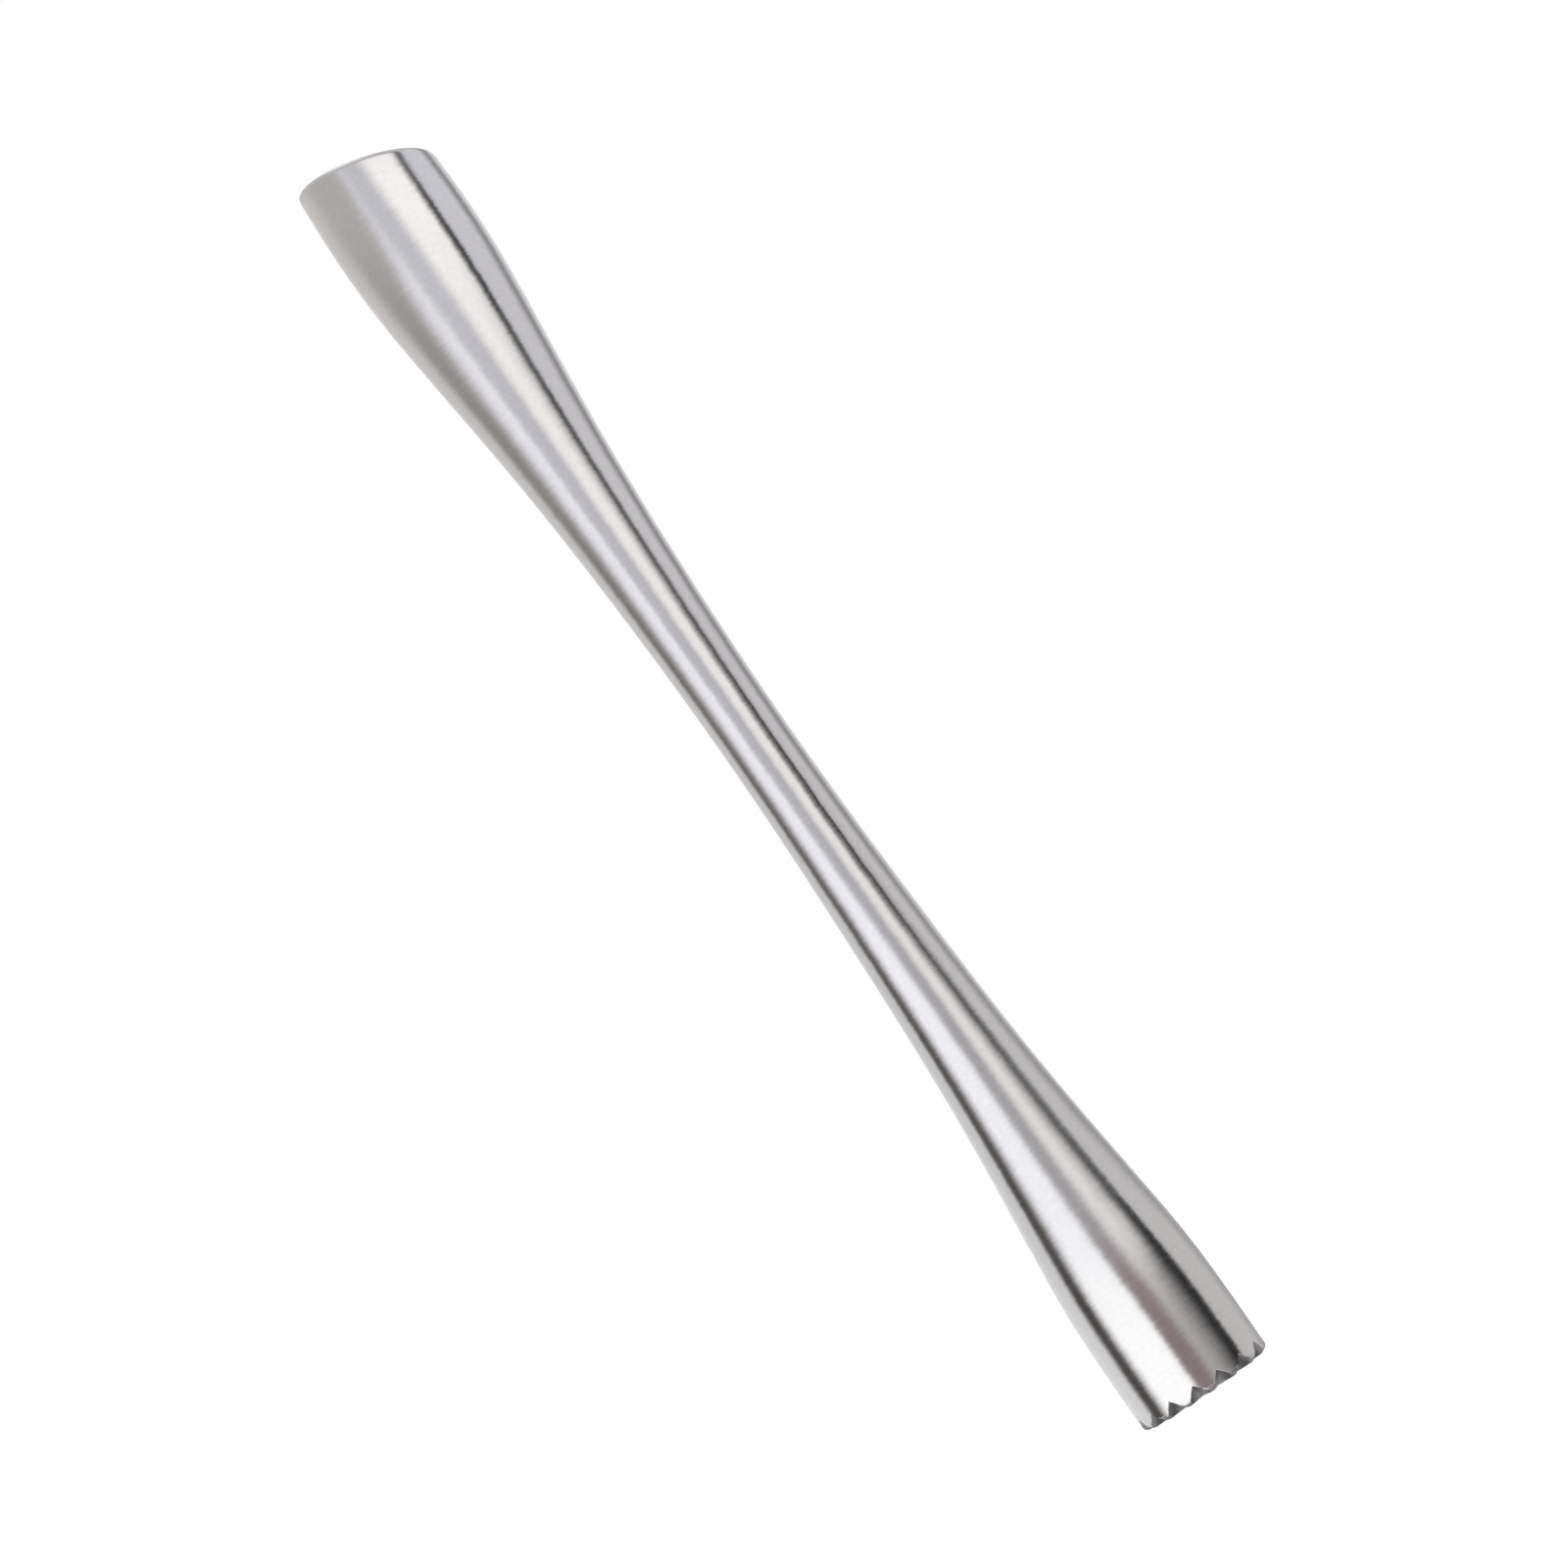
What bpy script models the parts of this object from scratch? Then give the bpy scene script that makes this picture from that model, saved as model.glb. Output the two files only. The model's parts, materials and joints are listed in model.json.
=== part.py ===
"""Bar muddler: a waisted hollow steel tube, a toothed head at the foot and a slanted cap at the top.

The muddler stands upright on its teeth: the axis is +Z, the tooth tips lie in z = 0, and the
slanted end is highest on the -X side. Lengths are in metres. Five pieces, each its own object:

    body_shell       swaged tube, open at both ends until the head and the cap are welded on
    head_weld        butt weld between the head and the tube, ground flush
    toothed_head     solid plug with a notched rim and a spigot inside the tube
    cap_weld         butt weld between the tube and the cap, ground flush
    slanted_end_cap  oval cap with a round lip inside the tube
"""

import math

import bmesh
import bpy
import numpy as np
from mathutils import Matrix, Vector

MM = 0.001

# Whole object
LENGTH = 208.7 * MM  # tooth tips to the highest corner of the slanted end, before its edge is rounded
SLANT = math.radians(15)  # of the top face, from square across the axis
# Outer radius at a few heights; the side is one smooth curve through them.
SIDE_STATIONS = [
    (0 * MM, 10.15 * MM),
    (10 * MM, 10.20 * MM),
    (20 * MM, 9.85 * MM),
    (30 * MM, 8.85 * MM),
    (50 * MM, 6.90 * MM),
    (75 * MM, 5.60 * MM),
    (105 * MM, 4.90 * MM),
    (135 * MM, 5.55 * MM),
    (158 * MM, 7.00 * MM),
    (176 * MM, 8.80 * MM),
    (190 * MM, 9.95 * MM),
    (212 * MM, 9.45 * MM),
]

# Tube and joints
WALL = 1.0 * MM
GAP = 0.3 * MM  # left between pieces that touch
WELD_WIDTH = 1.2 * MM
HEAD_SEAM = 14.0 * MM  # height of the middle of the head weld
SPIGOT_LENGTH = 6.0 * MM  # of the head, above the weld
SPIGOT_CHAMFER = 0.5 * MM

# Cap
CAP_PLATE = 1.6 * MM  # measured along the axis
CAP_EDGE_RADIUS = 0.9 * MM
CAP_LIP_FOOT = 197.0 * MM  # height of the lip's lower end
CAP_LIP_RADIUS = 8.2 * MM
CAP_LIP_WALL = 1.2 * MM
CAP_BLANK_RINGS = [192.0 * MM, 197.0 * MM, 202.0 * MM, 214.0 * MM]

# Teeth: what V grooves leave of the rim; each groove rises from a flat hub to its full depth
TEETH = 16
GROOVE_DEPTH = 2.0 * MM  # at the rim
TIP_SINK = 0.10 * MM  # how far the cutter's ridges pass under z = 0 at the rim, for a narrow flat tip
HUB_RADIUS = 6.5 * MM  # flat middle of the face, where the grooves run out
CUTTER_RADIUS = 12.0 * MM
CUTTER_HEIGHT = 6.0 * MM
TEETH_TURN = math.radians(15.2)  # from +X to a groove
RIM_RADIUS = 0.9 * MM  # rounded edge between the side and the tooth tips

# Fineness of the round shapes
SIDES = 64
RING_STEP = 6.0 * MM
INNER_RING_STEP = 12.0 * MM
ARC_STEPS = 4
SHARP_ANGLE = math.radians(30)
MERGE = 0.00001

STEEL = {"color": (0.63, 0.62, 0.61), "roughness": 0.28}
WELD_STEEL = {"color": (0.60, 0.59, 0.58), "roughness": 0.32}


def spline_through(stations):
    """Natural cubic spline through (height, radius) stations, as a function of height."""
    height, radius = np.array(stations).T
    step = np.diff(height)
    slope = np.diff(radius) / step
    system = np.eye(len(height))
    right = np.zeros(len(height))
    for i in range(1, len(height) - 1):
        system[i, i - 1 : i + 2] = step[i - 1], 2 * (step[i - 1] + step[i]), step[i]
        right[i] = 6 * (slope[i] - slope[i - 1])
    bend = np.linalg.solve(system, right)

    def radius_at(z):
        i = int(np.clip(np.searchsorted(height, z) - 1, 0, len(step) - 1))
        above, below = height[i + 1] - z, z - height[i]
        curved = (bend[i] * above**3 + bend[i + 1] * below**3) / (6 * step[i])
        from_upper = (radius[i + 1] / step[i] - bend[i + 1] * step[i] / 6) * below
        from_lower = (radius[i] / step[i] - bend[i] * step[i] / 6) * above
        return float(curved + from_upper + from_lower)

    return radius_at


side_radius = spline_through(SIDE_STATIONS)


def heights_down(top, bottom, step):
    """Heights from top to bottom, evenly spaced at no more than step."""
    count = max(1, math.ceil((top - bottom) / step))
    return [top + (bottom - top) * i / count for i in range(count + 1)]


def start_collections(name):
    for obj in list(bpy.data.objects):
        bpy.data.objects.remove(obj)
    made = []
    for title in (name, "cutters"):
        collection = bpy.data.collections.new(title)
        bpy.context.scene.collection.children.link(collection)
        made.append(collection)
    return made


def add_mesh(name, mesh, collection):
    obj = bpy.data.objects.new(name, mesh)
    collection.objects.link(obj)
    return obj


def turned(name, profile, collection, closed=False):
    """Object of revolution about Z. The profile lists (radius, height), outer side downwards."""
    mesh = bpy.data.meshes.new(name)
    edges = [(i, i + 1) for i in range(len(profile) - 1)]
    if closed:
        edges.append((len(profile) - 1, 0))
    mesh.from_pydata([(r, 0.0, z) for r, z in profile], edges, [])
    obj = add_mesh(name, mesh, collection)
    screw = obj.modifiers.new("Turn", "SCREW")
    screw.axis = "Z"
    screw.steps = SIDES
    screw.render_steps = SIDES
    screw.use_merge_vertices = True
    screw.merge_threshold = MERGE
    screw.use_smooth_shade = True
    return obj


def tube_profile(top, bottom, outer_step, inner_step):
    """Closed profile of the swaged tube between two heights."""
    outer = [(side_radius(z), z) for z in heights_down(top, bottom, outer_step)]
    inner = [(side_radius(z) - WALL, z) for z in heights_down(top, bottom, inner_step)]
    return outer + inner[::-1]


def mark_as_cutter(obj):
    obj.hide_render = True
    obj.display_type = "WIRE"
    return obj


def slanted_box(name, floor, height, collection):
    """Box between two slanted planes: its floor crosses the axis at z = floor, its top height above."""
    size = 4 * side_radius(LENGTH)
    depth = height * math.cos(SLANT)
    tilt = Matrix.Rotation(SLANT, 4, "Y")
    middle = tilt @ Vector((0, 0, depth / 2))
    place = Matrix.Translation((middle.x, middle.y, middle.z + floor)) @ tilt
    shape = bmesh.new()
    bmesh.ops.create_cube(shape, size=1, matrix=place @ Matrix.Diagonal((size, size, depth, 1)))
    mesh = bpy.data.meshes.new(name)
    shape.to_mesh(mesh)
    shape.free()
    return mark_as_cutter(add_mesh(name, mesh, collection))


def tooth_cutter(name, collection):
    """Cone whose upper face is a star of ridges and valleys: it cuts the V grooves from below."""
    shape = bmesh.new()
    bmesh.ops.create_cone(
        shape,
        segments=2 * TEETH,
        cap_ends=True,
        cap_tris=True,
        radius1=CUTTER_RADIUS,
        radius2=CUTTER_RADIUS,
        depth=CUTTER_HEIGHT,
        matrix=Matrix.Translation((0, 0, -CUTTER_HEIGHT / 2)),
    )
    half_pitch = math.pi / TEETH
    rim = side_radius(0)
    groove_slope = GROOVE_DEPTH / (rim - HUB_RADIUS)
    centre = -groove_slope * HUB_RADIUS
    groove = centre + groove_slope * CUTTER_RADIUS
    tip = centre + (-TIP_SINK - centre) / rim * CUTTER_RADIUS
    for vertex in shape.verts:
        if vertex.co.z < -CUTTER_HEIGHT / 2:
            continue
        if vertex.co.xy.length < CUTTER_RADIUS / 2:
            vertex.co.z = centre
            continue
        step = round(math.atan2(vertex.co.y, vertex.co.x) / half_pitch)
        vertex.co.z = tip if step % 2 else groove
    bmesh.ops.rotate(shape, verts=shape.verts, matrix=Matrix.Rotation(TEETH_TURN, 3, "Z"))
    mesh = bpy.data.meshes.new(name)
    shape.to_mesh(mesh)
    shape.free()
    return mark_as_cutter(add_mesh(name, mesh, collection))


def boolean(obj, operation, other):
    modifier = obj.modifiers.new(other.name, "BOOLEAN")
    modifier.operation = operation
    modifier.object = other
    modifier.solver = "EXACT"


def principled(name, color, roughness):
    material = bpy.data.materials.new(name)
    material.use_nodes = True
    shader = material.node_tree.nodes["Principled BSDF"]
    shader.inputs["Base Color"].default_value = (*color, 1)
    shader.inputs["Metallic"].default_value = 1
    shader.inputs["Roughness"].default_value = roughness
    return material


def finish(obj, steel):
    """Bake the modifiers, shade smooth with sharp rims, and give the piece its own material."""
    graph = bpy.context.evaluated_depsgraph_get()
    profile = obj.data
    obj.data = bpy.data.meshes.new_from_object(obj.evaluated_get(graph))
    obj.modifiers.clear()
    bpy.data.meshes.remove(profile)
    obj.data.name = obj.name
    obj.data.shade_smooth()
    obj.data.set_sharp_from_angle(angle=SHARP_ANGLE)
    obj.data.materials.clear()
    obj.data.materials.append(principled(obj.name, **steel))


# Where the slanted planes cross the axis, from the top face down through the joint
cap_top = LENGTH - side_radius(LENGTH) * math.tan(SLANT)
cap_underside = cap_top - CAP_PLATE
cap_weld_top = cap_underside - GAP
cap_weld_foot = cap_weld_top - WELD_WIDTH
shell_top = cap_weld_foot - GAP
slant_rise = side_radius(LENGTH) * math.tan(SLANT)
above_all = LENGTH + 10 * MM


def make_body_shell(parts, cutters):
    foot = HEAD_SEAM + WELD_WIDTH / 2 + GAP
    blank_top = shell_top + 2 * slant_rise
    profile = tube_profile(blank_top, foot, RING_STEP, INNER_RING_STEP)
    shell = turned("body_shell", profile, parts, closed=True)
    cut = slanted_box("shell_top_cut", shell_top, above_all - shell_top, cutters)
    boolean(shell, "DIFFERENCE", cut)
    finish(shell, STEEL)


def make_head_weld(parts):
    top, foot = HEAD_SEAM + WELD_WIDTH / 2, HEAD_SEAM - WELD_WIDTH / 2
    ring = turned("head_weld", tube_profile(top, foot, WELD_WIDTH, WELD_WIDTH), parts, closed=True)
    finish(ring, WELD_STEEL)


def make_toothed_head(parts, cutters):
    shoulder = HEAD_SEAM - WELD_WIDTH / 2 - GAP
    spigot_top = HEAD_SEAM + WELD_WIDTH / 2 + SPIGOT_LENGTH
    spigot = side_radius(spigot_top) - WALL - GAP
    side = [(side_radius(z), z) for z in heights_down(shoulder, RIM_RADIUS, RING_STEP / 2)]
    rim = side_radius(RIM_RADIUS) - RIM_RADIUS
    quarter = [math.radians(90) * i / ARC_STEPS for i in range(1, ARC_STEPS + 1)]
    arc = [(rim + RIM_RADIUS * math.cos(a), RIM_RADIUS * (1 - math.sin(a))) for a in quarter]
    profile = [
        (0.0, spigot_top),
        (spigot - SPIGOT_CHAMFER, spigot_top),
        (spigot, spigot_top - SPIGOT_CHAMFER),
        (spigot, shoulder),
        *side,
        *arc,
        (0.0, 0.0),
    ]
    head = turned("toothed_head", profile, parts)
    boolean(head, "DIFFERENCE", tooth_cutter("tooth_cutter", cutters))
    finish(head, STEEL)


def make_cap_weld(parts, cutters):
    blank_top, blank_foot = cap_weld_top + 2 * slant_rise, cap_weld_foot - 2 * slant_rise
    profile = tube_profile(blank_top, blank_foot, RING_STEP, RING_STEP)
    ring = turned("cap_weld", profile, parts, closed=True)
    boolean(ring, "INTERSECT", slanted_box("cap_weld_slice", cap_weld_foot, WELD_WIDTH, cutters))
    finish(ring, WELD_STEEL)


def make_slanted_end_cap(parts, cutters):
    blank = [(side_radius(z), z) for z in CAP_BLANK_RINGS[::-1]]
    cap = turned("slanted_end_cap", [(0.0, blank[0][1]), *blank, (0.0, blank[-1][1])], parts)
    boolean(cap, "DIFFERENCE", slanted_box("cap_top_cut", cap_top, above_all - cap_top, cutters))
    edge = cap.modifiers.new("Edge", "BEVEL")
    edge.width = CAP_EDGE_RADIUS
    edge.segments = ARC_STEPS
    edge.limit_method = "ANGLE"
    edge.angle_limit = math.radians(45)
    edge.use_clamp_overlap = False
    plate = slanted_box("cap_plate_keep", cap_underside, above_all - cap_underside, cutters)
    boolean(cap, "INTERSECT", plate)

    inner = CAP_LIP_RADIUS - CAP_LIP_WALL
    lip_top = cap_top + slant_rise
    lip_outline = [
        (CAP_LIP_RADIUS, lip_top),
        (CAP_LIP_RADIUS, CAP_LIP_FOOT),
        (inner, CAP_LIP_FOOT),
        (inner, lip_top),
    ]
    lip = mark_as_cutter(turned("cap_lip", lip_outline, cutters, closed=True))
    inside_plate = cap_underside + CAP_PLATE / 2
    cut = slanted_box("lip_top_cut", inside_plate, above_all - inside_plate, cutters)
    boolean(lip, "DIFFERENCE", cut)
    boolean(cap, "UNION", lip)
    finish(cap, STEEL)


def main():
    parts, cutters = start_collections("muddler")
    make_body_shell(parts, cutters)
    make_head_weld(parts)
    make_toothed_head(parts, cutters)
    make_cap_weld(parts, cutters)
    make_slanted_end_cap(parts, cutters)


main()
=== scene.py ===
"""Bar muddler in brushed steel, standing on a pale seamless floor in a soft studio.

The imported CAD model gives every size. Each CAD piece is replaced by a finer mesh of the same
shape, with its joints ground flush, and carries a procedural brushed-steel material.
Lengths are in metres.
"""

import json
import math

import bmesh
import bpy
import numpy as np
from mathutils import Matrix, Vector


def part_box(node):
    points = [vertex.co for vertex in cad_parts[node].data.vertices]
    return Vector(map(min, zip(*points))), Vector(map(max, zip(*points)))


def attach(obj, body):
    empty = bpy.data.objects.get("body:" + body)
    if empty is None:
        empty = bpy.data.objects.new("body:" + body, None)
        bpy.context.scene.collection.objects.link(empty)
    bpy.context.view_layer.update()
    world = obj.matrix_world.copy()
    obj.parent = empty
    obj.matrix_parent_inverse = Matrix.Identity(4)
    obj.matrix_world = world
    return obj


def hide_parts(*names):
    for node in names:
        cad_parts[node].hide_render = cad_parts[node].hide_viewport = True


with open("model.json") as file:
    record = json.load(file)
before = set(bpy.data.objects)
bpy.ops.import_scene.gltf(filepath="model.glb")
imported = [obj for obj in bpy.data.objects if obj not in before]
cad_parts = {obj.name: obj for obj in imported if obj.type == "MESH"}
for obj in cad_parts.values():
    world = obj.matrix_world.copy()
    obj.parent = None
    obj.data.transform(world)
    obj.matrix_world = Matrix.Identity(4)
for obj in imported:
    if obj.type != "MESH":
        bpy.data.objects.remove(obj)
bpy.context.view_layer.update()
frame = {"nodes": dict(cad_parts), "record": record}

MM = 0.001

# ---------------------------------------------------------------- driving sizes
SLANT = math.radians(15)  # of the top face
TEETH = 16
TEETH_TURN = math.radians(15.2)  # from +X to a groove
GROOVE_DEPTH = 2.0 * MM  # at the rim
TIP_SINK = 0.10 * MM
HUB_RADIUS = 6.5 * MM  # where the grooves run out
RIM_RADIUS = 0.9 * MM
TOOTH_BLEND = 0.08 * MM  # softening where the grooves meet the face
TOOTH_EDGE = 0.15 * MM  # worn bevel where the grooves meet the side
CAP_EDGE_RADIUS = 0.85 * MM
CAP_SINK = 0.036 * MM  # of the slanted face, for a finer edge inside the CAD box
SKIN_INSET = 0.001 * MM
WALL = 1.0 * MM
SEAM = 0.004 * MM  # between pieces welded and ground flush
SPIGOT_CHAMFER = 0.5 * MM
CAP_LIP_RADIUS = 8.2 * MM
CAP_LIP_WALL = 1.2 * MM

AROUND = 256  # sides of a turned surface
HEAD_AROUND = 32 * TEETH
RING_STEP = 1.5 * MM
LEAST_RINGS = 4
FACE_STEP = 0.18 * MM  # between the rings of the toothed face
HUB_SHARES = (0.25, 0.5, 0.75, 0.9)  # rings of the flat hub, as shares of its radius
CAP_SHARES = (0.25, 0.5, 0.75)  # rings of the slanted face, likewise
LEVELLING_SHARES = (0.2, 0.5, 1.0)  # rings from the tops of the grooves to a level ring
ARC_STEPS = 8
RIM_ARC = math.radians(80)  # of the rounding from the toothed face to the side
SLANT_ROUNDS = 6  # enough for a point on the slanted plane to settle
SHARP_ANGLE = math.radians(28)

MERIDIAN_SLIP = 0.02 * MM  # how far off the meridian a CAD vertex may be
STATION_PITCH = 0.2 * MM  # heights closer than this count as one
FACING_OUT = 0.9  # least part of an outer vertex's normal that points outwards
NEAR_SIDE = 0.95  # least share of a solid end's half width that counts as its side
ABOVE_RIM = 0.99  # share of the rim's rounding above which the side begins

# ---------------------------------------------------------------- shape read from the CAD frame


def outline_stations():
    """(height, radius) of the CAD model's outer surface, read along the meridian at +Y."""
    stations = {}
    for node in ("toothed_head", "body_shell", "slanted_end_cap"):
        half_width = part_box(node)[1].y
        for vertex in frame["nodes"][node].data.vertices:
            x, y, z = vertex.co
            if node == "body_shell":
                outside = y > 0 and vertex.normal.y > FACING_OUT
            else:
                outside = y > NEAR_SIDE * half_width
            if outside and abs(x) < MERIDIAN_SLIP and z > ABOVE_RIM * RIM_RADIUS:
                stations[round(z / STATION_PITCH)] = (z, y)
    return sorted(stations.values())


def spline_through(stations):
    """Natural cubic spline through (height, radius) stations, going on straight past its ends."""
    height, radius = np.array(stations).T
    step = np.diff(height)
    slope = np.diff(radius) / step
    system = np.eye(len(height))
    right = np.zeros(len(height))
    for i in range(1, len(height) - 1):
        system[i, i - 1 : i + 2] = step[i - 1], 2 * (step[i - 1] + step[i]), step[i]
        right[i] = 6 * (slope[i] - slope[i - 1])
    bend = np.linalg.solve(system, right)
    foot_slope = slope[0] - bend[1] * step[0] / 6
    head_slope = slope[-1] + bend[-2] * step[-1] / 6

    def radius_at(z):
        if z < height[0]:
            return float(radius[0] + foot_slope * (z - height[0])) - SKIN_INSET
        if z > height[-1]:
            return float(radius[-1] + head_slope * (z - height[-1])) - SKIN_INSET
        i = int(np.clip(np.searchsorted(height, z) - 1, 0, len(step) - 1))
        above, below = height[i + 1] - z, z - height[i]
        curved = (bend[i] * above**3 + bend[i + 1] * below**3) / (6 * step[i])
        from_upper = (radius[i + 1] / step[i] - bend[i + 1] * step[i] / 6) * below
        from_lower = (radius[i] / step[i] - bend[i] * step[i] / 6) * above
        return float(curved + from_upper + from_lower) - SKIN_INSET

    return radius_at


side_radius = spline_through(outline_stations())
slope = math.tan(SLANT)


def axis_height(z, side):
    """Height at the axis of the slanted plane that meets the outer surface at height z.

    side is 1 where they meet at -X, and -1 where they meet at +X."""
    return z - side * side_radius(z) * slope


# Seams between neighbours run through the middle of the gaps that the CAD solids keep.
shell_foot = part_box("body_shell")[0].z
weld_foot, weld_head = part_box("head_weld")[0].z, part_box("head_weld")[1].z
gap = shell_foot - weld_head
head_seam = weld_foot - gap / 2
shell_seam = shell_foot - gap / 2
shell_plane = axis_height(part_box("body_shell")[1].z, 1) + gap / 2
cap_plane = axis_height(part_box("cap_weld")[1].z, 1) + gap / 2
slanted_face = next(m for m in frame["record"]["mounts"] if m["name"] == "slanted_face")
face_plane = slanted_face["pos_m"][2] - CAP_SINK
lip_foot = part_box("slanted_end_cap")[0].z
spigot_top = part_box("toothed_head")[1].z

# ---------------------------------------------------------------- mesh building


def turn(count, start=0.0):
    return [start + 2 * math.pi * i / count for i in range(count)]


ANGLES = turn(AROUND)


def polar(radius, angle, z):
    return radius * math.cos(angle), radius * math.sin(angle), z


def flat_ring(z, radius, angles=ANGLES):
    return [polar(radius, a, z) for a in angles]


def slanted_point(angle, plane, inset=0.0, radius=None):
    """(radius, z) on a slanted plane: on the outer surface less inset, or at a stated radius."""
    z = plane
    for _ in range(SLANT_ROUNDS):
        r = side_radius(z) - inset if radius is None else radius
        z = plane - r * math.cos(angle) * slope
    return r, z


def slanted_ring(plane, inset=0.0, radius=None):
    points = [slanted_point(a, plane, inset, radius) for a in ANGLES]
    return [polar(r, a, z) for a, (r, z) in zip(ANGLES, points)]


def eased(count):
    """Shares from 0 to 1, closest together near the ends, where neighbours have to shade alike."""
    return [(1 - math.cos(math.pi * i / count)) / 2 for i in range(count + 1)]


def side_rings(foot, head, inset=0.0):
    """Rings up the outer surface, or inset from it, between two ends.

    Each end is ("flat", z) or ("slanted", height of its plane at the axis)."""

    def height(end, angle):
        return end[1] if end[0] == "flat" else slanted_point(angle, end[1], inset)[1]

    count = max(LEAST_RINGS, math.ceil((head[1] - foot[1]) / RING_STEP))
    ends = [(a, height(foot, a), height(head, a)) for a in ANGLES]
    rings = []
    for share in eased(count):
        ring = [(a, low + (high - low) * share) for a, low, high in ends]
        rings.append([polar(side_radius(z) - inset, a, z) for a, z in ring])
    return rings


def skin(name, rings, closed=False, first_point=None, last_point=None, inner_rings=0, bevels=0):
    """Mesh object over a list of rings: a closed loop of rings, or one that ends in two points.

    The faces over the first inner_rings rings take the object's second material, and the next
    bevels rings its third."""
    shape = bmesh.new()
    loops = [[shape.verts.new(p) for p in ring] for ring in rings]
    pairs = list(zip(loops, loops[1:]))
    if closed:
        pairs.append((loops[-1], loops[0]))
    for row, (lower, upper) in enumerate(pairs):
        for i in range(len(lower)):
            j = (i + 1) % len(lower)
            face = shape.faces.new((lower[i], lower[j], upper[j], upper[i]))
            face.material_index = (row < inner_rings) + 2 * (0 <= row - inner_rings < bevels)
    for point, loop, inner in ((first_point, loops[0], 1), (last_point, loops[-1], 0)):
        if point is not None:
            tip = shape.verts.new(point)
            for i in range(len(loop)):
                face = shape.faces.new((loop[i], loop[(i + 1) % len(loop)], tip))
                face.material_index = min(inner, inner_rings)
    bmesh.ops.recalc_face_normals(shape, faces=shape.faces)
    mesh = bpy.data.meshes.new(name)
    shape.to_mesh(mesh)
    shape.free()
    obj = bpy.data.objects.new(name, mesh)
    bpy.context.scene.collection.objects.link(obj)
    return obj


def tube_piece(name, foot, head):
    """Open tube between two ends: the muddler's outer surface, with the tube's wall inside it."""
    outer = side_rings(foot, head)
    inner = side_rings(foot, head, inset=WALL)
    return skin(name, outer + inner[::-1], closed=True)


def make_shell():
    foot, head = shell_seam + SEAM / 2, shell_plane - SEAM / 2
    return tube_piece("shell_skin", ("flat", foot), ("slanted", head))


def make_head_ring():
    foot, head = head_seam + SEAM / 2, shell_seam - SEAM / 2
    return tube_piece("head_weld_skin", ("flat", foot), ("flat", head))


def make_cap_ring():
    foot, head = shell_plane + SEAM / 2, cap_plane - SEAM / 2
    return tube_piece("cap_weld_skin", ("slanted", foot), ("slanted", head))


def smooth_max(a, b, blend=TOOTH_BLEND):
    return (a + b + math.hypot(a - b, blend)) / 2


def smooth_step(value, low, high):
    share = min(max((value - low) / (high - low), 0.0), 1.0)
    return share * share * (3 - 2 * share)


def groove_height(radius, angle):
    """Height of the groove star over the plane of the tooth tips; it is under 0 inside the hub."""
    half_pitch = math.pi / TEETH
    rim = side_radius(0)
    rise = GROOVE_DEPTH / (rim - HUB_RADIUS)
    centre = -rise * HUB_RADIUS
    across = ((-TIP_SINK - centre) / rim - rise * math.cos(half_pitch)) / math.sin(half_pitch)
    pitch = 2 * half_pitch
    from_groove = (angle - TEETH_TURN + half_pitch) % pitch - half_pitch
    return centre + radius * (rise * math.cos(from_groove) + across * math.sin(abs(from_groove)))


def toothed_rings(angles):
    """Rings from near the axis over the toothed face, round its rim and onto the side.

    It also returns how many rows of faces lie between the axis and the worn edge."""
    rim = side_radius(RIM_RADIUS)
    flat = rim - RIM_RADIUS
    steps = math.ceil((flat - HUB_RADIUS) / FACE_STEP)
    profile = [(HUB_RADIUS * share, 0.0) for share in HUB_SHARES]
    profile += [(HUB_RADIUS + (flat - HUB_RADIUS) * i / steps, 0.0) for i in range(steps)]
    for i in range(ARC_STEPS + 1):
        a = RIM_ARC * i / ARC_STEPS
        profile.append((flat + RIM_RADIUS * math.sin(a), RIM_RADIUS * (1 - math.cos(a))))

    def cut(a, r, z):
        return smooth_max(z, groove_height(r, a))

    rings = [[polar(r, a, cut(a, r, z)) for a in angles] for r, z in profile[:-1]]
    cut_rows = len(rings)
    last_r, last_z = profile[-1]
    worn, edge, crests = [], [], []
    for a in angles:
        crest = groove_height(rim, a)
        depth = smooth_step(crest, RIM_RADIUS, RIM_RADIUS + 2 * TOOTH_EDGE)
        r = last_r + (rim - TOOTH_EDGE - last_r) * depth
        worn.append(polar(r, a, cut(a, r, last_z)))
        z = smooth_max(RIM_RADIUS, crest) + TOOTH_EDGE * depth
        edge.append(polar(side_radius(z), a, z))
        crests.append(z)
    rings += [worn, edge]
    level = GROOVE_DEPTH + 4 * TOOTH_EDGE
    for share in LEVELLING_SHARES:
        heights = [z + (level - z) * share for z in crests]
        rings.append([polar(side_radius(z), a, z) for a, z in zip(angles, heights)])
    return rings, cut_rows


def make_head():
    """Solid head: toothed face, side and a chamfered spigot."""
    angles = turn(HEAD_AROUND, TEETH_TURN)
    rings, cut_rows = toothed_rings(angles)
    foot, top = rings[-1][0][2], head_seam - SEAM / 2
    steps = math.ceil((top - foot) / RING_STEP)
    for share in eased(steps)[1:]:
        z = foot + (top - foot) * share
        rings.append(flat_ring(z, side_radius(z), angles))
    spigot = side_radius(spigot_top) - WALL - gap
    rings.append(flat_ring(top, spigot, angles))
    rings.append(flat_ring(spigot_top - SPIGOT_CHAMFER, spigot, angles))
    rings.append(flat_ring(spigot_top, spigot - SPIGOT_CHAMFER, angles))
    ends = {"first_point": (0, 0, 0), "last_point": (0, 0, spigot_top)}
    return skin("head_skin", rings, inner_rings=cut_rows, bevels=1, **ends)


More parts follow.
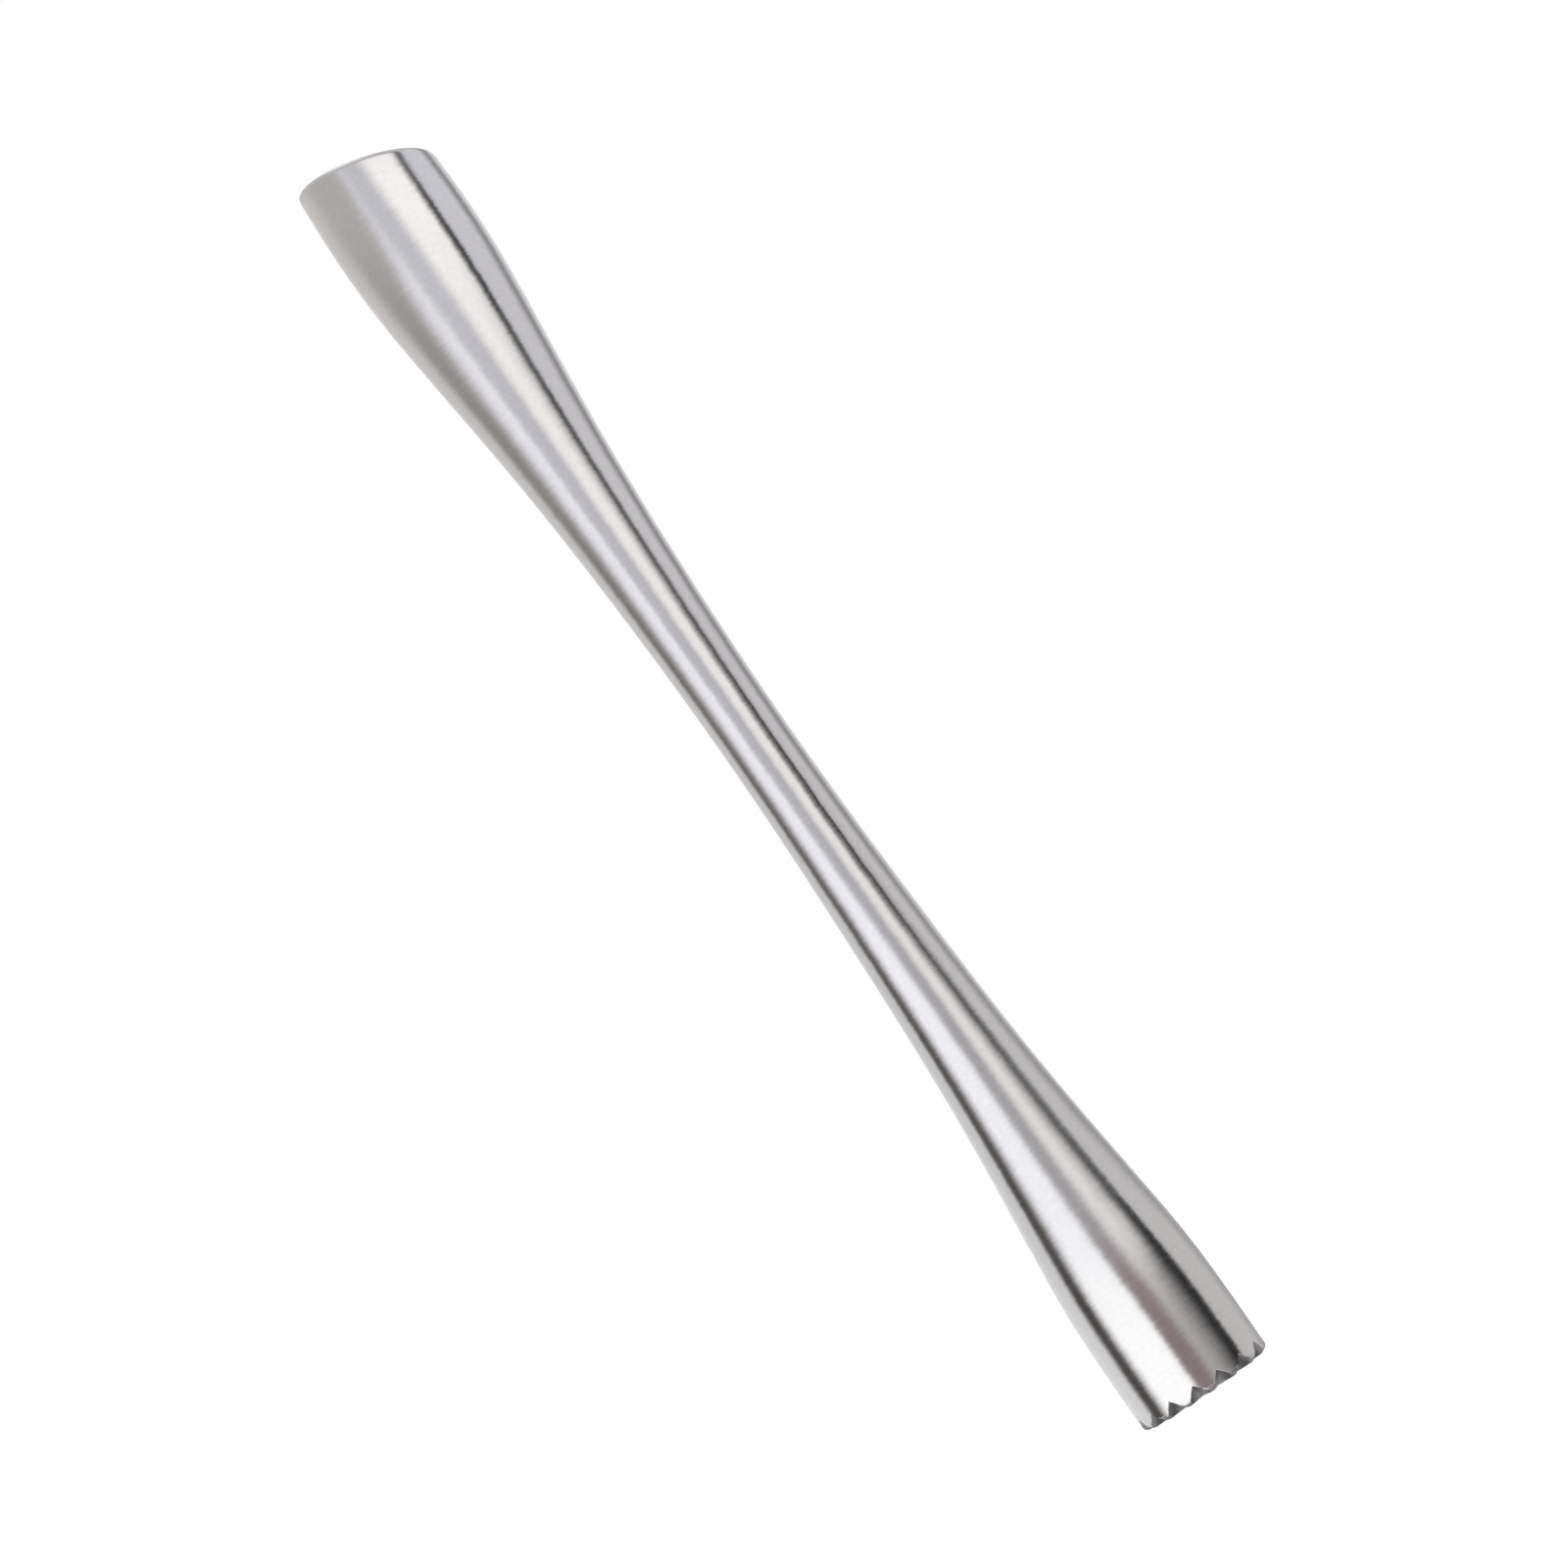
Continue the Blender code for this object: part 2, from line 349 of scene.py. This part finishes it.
def make_cap():
    """Cap: slanted face, rounded edge, side, underside and a round lip, as one closed skin."""
    rings = []
    for share in CAP_SHARES:
        radius = share * (side_radius(face_plane) - CAP_EDGE_RADIUS)
        rings.append(slanted_ring(face_plane, radius=radius))
    corners = [slanted_point(a, face_plane) for a in ANGLES]
    for i in range(ARC_STEPS + 1):
        u = i / ARC_STEPS
        weights = (1 - u) ** 2, 2 * u * (1 - u), u**2
        ring = []
        for a, (r, z) in zip(ANGLES, corners):
            face_r = r - CAP_EDGE_RADIUS
            face_z = face_plane - face_r * math.cos(a) * slope
            side_z = z - CAP_EDGE_RADIUS
            arc_r = np.dot(weights, (face_r, r, side_radius(side_z)))
            arc_z = np.dot(weights, (face_z, z, side_z))
            ring.append(polar(arc_r, a, arc_z))
        rings.append(ring)
    foot = cap_plane + SEAM / 2
    lip_inside = CAP_LIP_RADIUS - CAP_LIP_WALL
    rings.append(slanted_ring(foot))
    rings.append(slanted_ring(foot, radius=CAP_LIP_RADIUS))
    rings.append(flat_ring(lip_foot, CAP_LIP_RADIUS))
    rings.append(flat_ring(lip_foot, lip_inside))
    rings.append(slanted_ring(foot, radius=lip_inside))
    ends = {"first_point": (0, 0, face_plane), "last_point": (0, 0, foot)}
    return skin("cap_skin", rings, inner_rings=len(CAP_SHARES), **ends)


# ---------------------------------------------------------------- node helpers

STEEL = (0.632, 0.624, 0.620)
WEATHERED = 0.976  # mean brightness of the steel after its lines and mottles, as a share of clean


def new_node(tree, kind, **settings):
    made = tree.nodes.new(kind)
    for key, value in settings.items():
        setattr(made, key, value)
    return made


def feed(tree, socket, value):
    """Set a socket to a number or colour, or link it to another socket."""
    if isinstance(value, bpy.types.NodeSocket):
        tree.links.new(value, socket)
    else:
        socket.default_value = value


def maths(tree, operation, *values):
    made = new_node(tree, "ShaderNodeMath", operation=operation)
    for socket, value in zip(made.inputs, values):
        feed(tree, socket, value)
    return made.outputs[0]


def between(tree, value, low, high, to_low=0.0, to_high=1.0, smooth=True):
    """Map a value from low..high to to_low..to_high, held at both ends."""
    kind = "SMOOTHSTEP" if smooth else "LINEAR"
    made = new_node(tree, "ShaderNodeMapRange", interpolation_type=kind)
    for socket, number in zip(made.inputs, (value, low, high, to_low, to_high)):
        feed(tree, socket, number)
    return made.outputs[0]


def blend(tree, factor, first, second):
    made = new_node(tree, "ShaderNodeMix", data_type="RGBA")
    feed(tree, made.inputs["Factor"], factor)
    feed(tree, made.inputs["A"], first)
    feed(tree, made.inputs["B"], second)
    return made.outputs["Result"]


def split(tree, vector):
    made = new_node(tree, "ShaderNodeSeparateXYZ")
    feed(tree, made.inputs[0], vector)
    return made.outputs


def noise(tree, place, scale, detail=3.0, roughness=0.6):
    """Noise with its features per metre given on each axis, so that uneven ones give streaks."""
    mapping = new_node(tree, "ShaderNodeMapping")
    feed(tree, mapping.inputs["Vector"], place)
    mapping.inputs["Scale"].default_value = scale
    made = new_node(tree, "ShaderNodeTexNoise")
    feed(tree, made.inputs["Vector"], mapping.outputs[0])
    made.inputs["Scale"].default_value = 1.0
    made.inputs["Detail"].default_value = detail
    made.inputs["Roughness"].default_value = roughness
    return made.outputs["Fac"]


# ---------------------------------------------------------------- materials
# Scales of noise are in features per metre on x, y and z. A range is the part of a noise that
# gives the whole change. Leans are sideways shifts of the normal, as shares of its length.

LINE_RANGE = (0.36, 0.64)
LINE_SHADES = (0.95, 1.03)  # darkest and lightest line, as shares of the steel's colour
FINE_SHARE = 0.55  # of the finer lines; the coarser ones have the rest
CLOUDS, CLOUD_RANGE = (130, 130, 70), (0.3, 0.7)
CLOUD_COLOR, CLOUD_SHARE = (0.625, 0.622, 0.624, 1), 0.35
CLOUD_ROUGHNESS = 0.02
MOTTLES, MOTTLE_RANGE = (1400, 1400, 1400), (0.38, 0.62)
MOTTLE_COLOR, MOTTLE_SHARE = (0.605, 0.598, 0.596, 1), 0.85
WORN_COLOR, WORN_SHARE = (0.70, 0.695, 0.69, 1), 0.7
WEAR_BORDER, BORDER_RANGE = (900, 900, 900), (0.35, 0.65)
BORDER_WIDTHS = (0.5, 1.3)  # narrowest and widest wear, as shares of its width
RELIEF_STRENGTH, RELIEF_DEPTH = 0.10, 0.01 * MM
QUARTER_TURN = 0.25
FRAY, FRAY_LEAN = (150, 150, 3400), 0.011
WAVE, WAVE_LEAN = (120, 120, 420), 0.009
LEAN_RANGE = (0.3, 0.7)


def edge_wear(tree, distance, width):
    """1 on an edge rubbed bright, fading to 0 at width from it, with an uneven border."""
    place = new_node(tree, "ShaderNodeTexCoord").outputs["Object"]
    border = between(tree, noise(tree, place, WEAR_BORDER), *BORDER_RANGE, *BORDER_WIDTHS)
    return between(tree, distance, 0.0, maths(tree, "MULTIPLY", border, width), 1.0, 0.0)


def over_teeth(tree, place):
    """Distance above the plane of the tooth tips."""
    return split(tree, place)[2]


def under_slanted_face(tree, place):
    """Distance below the slanted face, along the axis."""
    x, _, z = split(tree, place)
    tilted = maths(tree, "MULTIPLY_ADD", x, slope, z)
    return maths(tree, "SUBTRACT", face_plane, tilted)


def leaning(tree, place, scale, most):
    """A lean of up to most, to either side, that follows a noise of this scale."""
    return between(tree, noise(tree, place, scale), *LEAN_RANGE, -most, most, smooth=False)


def brushed_round(tree, shader, place, normal):
    """Brushing round the axis: set it on the shader, and return the normal with its lean.

    The scratches spread a reflection along the axis, and each line of them leans a little to one
    side, which frays the edges of what the steel reflects."""
    tangent = new_node(tree, "ShaderNodeTangent", direction_type="RADIAL", axis="Z")
    feed(tree, shader.inputs["Tangent"], tangent.outputs[0])
    shader.inputs["Anisotropic Rotation"].default_value = QUARTER_TURN
    fray = leaning(tree, place, FRAY, FRAY_LEAN)
    wave = leaning(tree, place, WAVE, WAVE_LEAN)
    sideways = new_node(tree, "ShaderNodeVectorMath", operation="SCALE")
    feed(tree, sideways.inputs[0], tangent.outputs[0])
    feed(tree, sideways.inputs["Scale"], maths(tree, "ADD", fray, wave))
    total = new_node(tree, "ShaderNodeVectorMath", operation="ADD")
    feed(tree, total.inputs[0], normal)
    feed(tree, total.inputs[1], sideways.outputs[0])
    unit = new_node(tree, "ShaderNodeVectorMath", operation="NORMALIZE")
    feed(tree, unit.inputs[0], total.outputs[0])
    return unit.outputs[0]


def brushed_steel(name, streaks, hairs, rough=(0.15, 0.19), stretch=0.5, rings=True, wear=None):
    """Satin steel: fine lines in its colour, gloss and relief, all lying along the brushing.

    streaks and hairs are the scales of the coarser and the finer lines. rings is for brushing
    that runs round the axis. wear is (distance function, width, change of roughness) of an edge
    rubbed bright."""
    material = bpy.data.materials.new(name)
    material.use_nodes = True
    tree = material.node_tree
    shader = tree.nodes["Principled BSDF"]
    place = new_node(tree, "ShaderNodeTexCoord").outputs["Object"]

    coarse = noise(tree, place, streaks)
    fine = noise(tree, place, hairs, detail=2.0)
    clouds = noise(tree, place, CLOUDS, detail=2.0, roughness=0.5)
    mottle = noise(tree, place, MOTTLES)
    coarse_part = maths(tree, "MULTIPLY", coarse, 1 - FINE_SHARE)
    lines = maths(tree, "MULTIPLY_ADD", fine, FINE_SHARE, coarse_part)

    darker, lighter = (tuple(c * share for c in STEEL) + (1,) for share in LINE_SHADES)
    tone = between(tree, lines, *LINE_RANGE, smooth=False)
    color = blend(tree, tone, darker, lighter)
    cloudy = between(tree, clouds, *CLOUD_RANGE, 0.0, CLOUD_SHARE)
    color = blend(tree, cloudy, color, CLOUD_COLOR)
    mottled = between(tree, mottle, *MOTTLE_RANGE, 0.0, MOTTLE_SHARE)
    color = blend(tree, mottled, color, MOTTLE_COLOR)
    gloss = between(tree, lines, *LINE_RANGE, *rough, smooth=False)
    duller = between(tree, clouds, *CLOUD_RANGE)
    gloss = maths(tree, "MULTIPLY_ADD", duller, CLOUD_ROUGHNESS, gloss)
    if wear:
        distance, width, rougher = wear
        worn = edge_wear(tree, distance(tree, place), width)
        color = blend(tree, maths(tree, "MULTIPLY", worn, WORN_SHARE), color, WORN_COLOR)
        gloss = maths(tree, "MULTIPLY_ADD", worn, rougher, gloss)
    feed(tree, shader.inputs["Base Color"], color)
    feed(tree, shader.inputs["Roughness"], gloss)
    shader.inputs["Metallic"].default_value = 1.0
    shader.inputs["Anisotropic"].default_value = stretch

    bump = new_node(tree, "ShaderNodeBump")
    bump.inputs["Strength"].default_value = RELIEF_STRENGTH
    bump.inputs["Distance"].default_value = RELIEF_DEPTH
    feed(tree, bump.inputs["Height"], lines)
    relief = bump.outputs[0]
    normal = brushed_round(tree, shader, place, relief) if rings else relief
    feed(tree, shader.inputs["Normal"], normal)
    return material


# ---------------------------------------------------------------- the pieces


def dress(obj, node, slot, *materials):
    obj.data.shade_smooth()
    obj.data.set_sharp_from_angle(angle=SHARP_ANGLE)
    for material in materials:
        obj.data.materials.append(material)
    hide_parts(node)
    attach(obj, "root")


# The ways of working the steel: brushed round the axis, brushed straight along Y, and ground.
ROUND = {"streaks": (35, 35, 3000), "hairs": (110, 110, 8000)}
ACROSS = {"streaks": (3000, 40, 3000), "hairs": (9000, 120, 9000), "rings": False}
GROUND = {"streaks": (1500, 1500, 1500), "hairs": (6000, 6000, 6000), "rings": False}

shell_steel = brushed_steel("brushed_shell", **ROUND)
weld_steel = brushed_steel("ground_weld", **ROUND)
head_steel = brushed_steel("brushed_head", wear=(over_teeth, 1.2 * MM, -0.04), **ROUND)
cap_steel = brushed_steel("brushed_cap", wear=(under_slanted_face, 1.0 * MM, -0.04), **ROUND)
cut_steel = brushed_steel(
    "cut_teeth", rough=(0.22, 0.32), stretch=0.0, wear=(over_teeth, 0.5 * MM, -0.06), **GROUND
)
bevel_steel = brushed_steel("rubbed_bevels", rough=(0.34, 0.44), stretch=0.0, **GROUND)
face_steel = brushed_steel("brushed_face", stretch=0.6, **ACROSS)

dress(make_shell(), "body_shell", "brushed_body", shell_steel)
dress(make_head_ring(), "head_weld", "ground_head_weld", weld_steel)
dress(make_head(), "toothed_head", "brushed_head", head_steel, cut_steel, bevel_steel)
dress(make_cap_ring(), "cap_weld", "ground_cap_weld", weld_steel)
dress(make_cap(), "slanted_end_cap", "brushed_cap", cap_steel, face_steel)

# ---------------------------------------------------------------- floor

FLOOR_SIDE = 6  # metres
FLOOR_DROP = 0.2 * MM  # under the tips of the teeth
FLOOR_WHITE, FLOOR_GLOW = 0.9, 0.9


def plain_material(name):
    material = bpy.data.materials.new(name)
    material.use_nodes = True
    return material, material.node_tree


def make_floor():
    bpy.ops.mesh.primitive_plane_add(size=FLOOR_SIDE, location=(0, 0, -FLOOR_DROP))
    floor = bpy.context.active_object
    floor.name = "studio_floor"
    material, tree = plain_material("floor_white")
    shader = tree.nodes["Principled BSDF"]
    shader.inputs["Base Color"].default_value = (FLOOR_WHITE, FLOOR_WHITE, FLOOR_WHITE, 1)
    shader.inputs["Roughness"].default_value = 0.9
    shader.inputs["Specular IOR Level"].default_value = 0.0
    shader.inputs["Emission Color"].default_value = (1, 1, 1, 1)
    shader.inputs["Emission Strength"].default_value = FLOOR_GLOW
    floor.data.materials.append(material)
    floor.visible_glossy = False


make_floor()

# ---------------------------------------------------------------- studio
# The steel shows its surroundings, so the soft light comes from a tent: an upright cylinder round
# the muddler, unseen by the camera, with softboxes, dark flags and reflectors painted on its
# inside, each over the ones before it. Azimuths are in degrees from the front (-Y) towards +X.
# Levels are the brightness, from 0 to 255, that the steel shows when it mirrors them.

TENT_RADIUS = 300 * MM
TENT_FOOT, TENT_TOP = -600, 900  # mm
AZIMUTH_SPAN, LEVEL_SPAN = 400, 2.0  # what 0 to 1 stands for in the ramps
WALL_LEVEL, CEILING_LEVEL, ZENITH_LEVEL = 190, 172, 228
CEILING_RISE = (0.62, 0.70)  # of the tent's height, where the panels give way to the ceiling
ZENITH_RISE = (0.9, 1.0)  # upward part of a direction, where the ceiling brightens to its zenith

# The shade at the foot is a disc with a darker ring in it, which begins and ends softly.
SHADE_RADIUS, SHADE_DROP = 10.6 * MM, 0.3 * MM
SHADE_LEVEL, DARK_RING_LEVEL = 126, 76
DARK_RING_START, DARK_RING_END = (7.0 * MM, 8.6 * MM), (8.8 * MM, 10.0 * MM)

# Shifts of red, green and blue from a level.
TINTS = {
    "neutral": (1, 0, 0),
    "grey": (2, 0, 1),
    "lavender": (2, 0, 6),
    "warm": (3, 0, -2),
    "taupe": (4, 0, -2),
    "brown": (14, 0, 1),
    "ink": (0, 0, 2),
}

# Rows of a panel: height in mm, left edge, right edge, left softness, right softness, level and
# tint. The edges are azimuths. Between two rows, edges and colours change evenly.
PANELS = {
    "left wall": [
        (0, -200, -90, 10, 10, 205, "neutral"),
        (100, -200, -90, 10, 10, 190, "neutral"),
        (300, -200, -90, 10, 10, 183, "taupe"),
    ],
    "right reflector": [
        (0, 30, 140, 5, 40, 180, "warm"),
        (300, 30, 150, 5, 40, 196, "lavender"),
    ],
    "left softbox": [
        (0, -82, -9, 5, 10, 252, "neutral"),
        (40, -82, -15, 10, 10, 247, "neutral"),
        (100, -80, -19, 20, 15, 238, "lavender"),
        (135, -76, -32, 25, 12, 232, "lavender"),
        (200, -58, -25, 30, 22, 224, "lavender"),
        (300, -45, -22, 20, 20, 200, "lavender"),
    ],
    "left flag": [
        (0, -103, -76, 15, 22, 62, "taupe"),
        (40, -103, -78, 14, 20, 62, "taupe"),
        (80, -104, -74, 12, 34, 62, "taupe"),
        (110, -102, -72, 20, 34, 88, "taupe"),
        (150, -106, -74, 20, 48, 96, "taupe"),
        (200, -107, -57, 30, 50, 140, "taupe"),
        (300, -105, -34, 50, 20, 166, "taupe"),
    ],
    "front gap": [
        (0, -9, 26, 12, 25, 112, "brown"),
        (50, -11, 20, 12, 20, 122, "brown"),
        (90, -13, 14, 12, 20, 148, "grey"),
        (120, -22, 8, 12, 20, 168, "lavender"),
        (150, -28, 5, 12, 20, 178, "lavender"),
        (200, -20, 8, 20, 20, 190, "lavender"),
        (300, -20, 5, 20, 20, 186, "lavender"),
    ],
    "front softbox": [
        (0, 22, 50, 20, 30, 155, "warm"),
        (30, 18, 60, 25, 30, 172, "warm"),
        (60, 15, 60, 25, 20, 206, "warm"),
        (100, 14, 60, 20, 15, 218, "warm"),
        (150, 5, 50, 20, 20, 230, "warm"),
        (200, 8, 60, 20, 25, 234, "warm"),
        (300, 9, 65, 25, 25, 244, "warm"),
    ],
    "right flag": [
        (0, 50, 81, 45, 3, 20, "ink"),
        (30, 44, 78, 50, 3, 10, "ink"),
        (55, 54, 75, 30, 3, 0, "ink"),
        (85, 56, 73, 15, 3, 0, "ink"),
        (100, 47, 67, 15, 3, 0, "ink"),
        (120, 35, 58, 15, 3, 0, "neutral"),
        (145, 33, 57, 15, 3, 0, "neutral"),
        (180, 52, 68, 18, 10, 15, "neutral"),
        (195, 56, 69, 12, 6, 20, "neutral"),
        (300, 59, 71, 12, 6, 35, "neutral"),
        (330, 67, 80, 10, 6, 60, "neutral"),
    ],
    "far right flag": [
        (0, 135, 165, 30, 30, 150, "grey"),
        (60, 122, 150, 25, 30, 142, "grey"),
        (100, 106, 132, 25, 25, 138, "grey"),
        (150, 100, 131, 25, 30, 135, "grey"),
        (210, 117, 138, 25, 25, 126, "grey"),
        (300, 122, 142, 20, 20, 128, "grey"),
    ],
}


def shown(level, tint):
    """Emission that steel shows at this 8-bit level, as linear red, green and blue."""
    eight_bit = [max(level + shift, 0) / 255 for shift in TINTS[tint]]
    linear = [v / 12.92 if v < 0.04045 else ((v + 0.055) / 1.055) ** 2.4 for v in eight_bit]
    return [v / (WEATHERED * share) for v, share in zip(linear, STEEL)]


def by_height(tree, height, stops):
    """Four numbers that follow height: stops are (height in mm, four numbers from 0 to 1)."""
    made = new_node(tree, "ShaderNodeValToRGB")
    elements = made.color_ramp.elements
    while len(elements) < len(stops):
        elements.new(0.5)
    for element, (at, numbers) in zip(elements, stops):
        element.position = (at - TENT_FOOT) / (TENT_TOP - TENT_FOOT)
        element.color = numbers
    feed(tree, made.inputs[0], height)
    return made.outputs


def ramp_color(level, tint):
    """The same emission as a ramp's or a mix's four numbers."""
    return tuple(c / LEVEL_SPAN for c in shown(level, tint)) + (1,)


def panel_over(tree, rows, azimuth, height, color):
    """The colour with one panel painted over it, where the azimuth is between its soft edges."""
    edges, colors = [], []
    for at, left, right, left_soft, right_soft, level, tint in rows:
        rise = (left - left_soft / 2, left + left_soft / 2)
        fall = (right - right_soft / 2, right + right_soft / 2)
        edges.append((at, [edge / AZIMUTH_SPAN + 0.5 for edge in (*rise, *fall)]))
        colors.append((at, ramp_color(level, tint)))
    three_limits, last_limit = by_height(tree, height, edges)
    limits = new_node(tree, "ShaderNodeSeparateColor")
    feed(tree, limits.inputs[0], three_limits)
    right_of_left_edge = between(tree, azimuth, limits.outputs[0], limits.outputs[1])
    left_of_right_edge = between(tree, azimuth, limits.outputs[2], last_limit, 1.0, 0.0)
    inside = maths(tree, "MULTIPLY", right_of_left_edge, left_of_right_edge)
    paint, _ = by_height(tree, height, colors)
    return blend(tree, inside, color, paint)


def surroundings(tree, turns, height):
    """Colour of the tent where turns (azimuth, 1 for a whole turn) and height (0 to 1) point."""
    azimuth = maths(tree, "MULTIPLY_ADD", turns, 360 / AZIMUTH_SPAN, 0.5)
    color = ramp_color(WALL_LEVEL, "neutral")
    for rows in PANELS.values():
        color = panel_over(tree, rows, azimuth, height, color)
    ceiling = ramp_color(CEILING_LEVEL, "grey")
    return blend(tree, between(tree, height, *CEILING_RISE), color, ceiling)


def emitting(tree, color, strength):
    """Light of this colour as the tree's whole surface."""
    emission = new_node(tree, "ShaderNodeEmission")
    feed(tree, emission.inputs["Color"], color)
    emission.inputs["Strength"].default_value = strength
    output = new_node(tree, "ShaderNodeOutputMaterial")
    feed(tree, output.inputs["Surface"], emission.outputs[0])


def make_tent():
    bpy.ops.mesh.primitive_cylinder_add(
        vertices=128,
        radius=TENT_RADIUS,
        depth=(TENT_TOP - TENT_FOOT) * MM,
        end_fill_type="NOTHING",
        location=(0, 0, (TENT_TOP + TENT_FOOT) / 2 * MM),
    )
    tent = bpy.context.active_object
    tent.name = "light_tent"
    material, tree = plain_material("light_tent")
    tree.nodes.clear()
    x, y, z = split(tree, new_node(tree, "ShaderNodeNewGeometry").outputs["Position"])
    height = between(tree, z, TENT_FOOT * MM, TENT_TOP * MM, smooth=False)
    turned = maths(tree, "ARCTAN2", x, maths(tree, "MULTIPLY", y, -1.0))
    turns = maths(tree, "DIVIDE", turned, 2 * math.pi)
    color = surroundings(tree, turns, height)
    emitting(tree, color, LEVEL_SPAN)
    material.cycles.emission_sampling = "NONE"
    tent.data.materials.append(material)
    tent.visible_camera = False


def make_foot_shade():
    """Shade under the floor at the muddler's foot, which its lowest edge and the grooves mirror."""
    bpy.ops.mesh.primitive_circle_add(
        vertices=64, radius=SHADE_RADIUS, fill_type="NGON", location=(0, 0, -SHADE_DROP)
    )
    disc = bpy.context.active_object
    disc.name = "foot_shade"
    material, tree = plain_material("foot_shade")
    tree.nodes.clear()
    x, y, _ = split(tree, new_node(tree, "ShaderNodeNewGeometry").outputs["Position"])
    radius = maths(tree, "SQRT", maths(tree, "MULTIPLY_ADD", x, x, maths(tree, "MULTIPLY", y, y)))
    shade, dark_ring = ramp_color(SHADE_LEVEL, "grey"), ramp_color(DARK_RING_LEVEL, "grey")
    color = blend(tree, between(tree, radius, *DARK_RING_START), shade, dark_ring)
    color = blend(tree, between(tree, radius, *DARK_RING_END), color, shade)
    emitting(tree, color, LEVEL_SPAN)
    disc.data.materials.append(material)
    disc.visible_camera = False
    disc.visible_diffuse = False


def make_world():
    """White where the camera sees past the object, and otherwise grey with a brighter zenith."""
    world = bpy.data.worlds.new("studio")
    bpy.context.scene.world = world
    world.use_nodes = True
    tree = world.node_tree
    tree.nodes.clear()
    _, _, z = split(tree, new_node(tree, "ShaderNodeTexCoord").outputs["Generated"])
    around = new_node(tree, "ShaderNodeBackground")
    rise = between(tree, z, *ZENITH_RISE)
    dim, bright = ((*shown(level, "grey"), 1) for level in (CEILING_LEVEL, ZENITH_LEVEL))
    feed(tree, around.inputs["Color"], blend(tree, rise, dim, bright))
    behind = new_node(tree, "ShaderNodeBackground")
    behind.inputs["Color"].default_value = (1, 1, 1, 1)
    rays = new_node(tree, "ShaderNodeLightPath")
    choose = new_node(tree, "ShaderNodeMixShader")
    feed(tree, choose.inputs[0], rays.outputs["Is Camera Ray"])
    feed(tree, choose.inputs[1], around.outputs[0])
    feed(tree, choose.inputs[2], behind.outputs[0])
    output = new_node(tree, "ShaderNodeOutputWorld")
    feed(tree, output.inputs["Surface"], choose.outputs[0])


make_tent()
make_foot_shade()
make_world()
bpy.context.scene.view_settings.view_transform = "Standard"

# ---------------------------------------------------------------- camera

CAMERA_PLACE = Vector((0, -552.1, 35.0)) * MM
CAMERA_AIM = Vector((-0.23, 0, 100.8)) * MM
CAMERA_ROLL = math.radians(34.77)
CAMERA_LENS, FRAME_WIDTH = 92.2, 36  # mm
NEAREST_SEEN = 10 * MM


def make_camera():
    data = bpy.data.cameras.new("camera")
    data.lens = CAMERA_LENS
    data.sensor_width = FRAME_WIDTH
    data.clip_start = NEAREST_SEEN
    camera = bpy.data.objects.new("camera", data)
    bpy.context.scene.collection.objects.link(camera)
    look = (CAMERA_AIM - CAMERA_PLACE).to_track_quat("-Z", "Y").to_matrix().to_4x4()
    roll = Matrix.Rotation(-CAMERA_ROLL, 4, "Z")
    camera.matrix_world = Matrix.Translation(CAMERA_PLACE) @ look @ roll
    bpy.context.scene.camera = camera


make_camera()
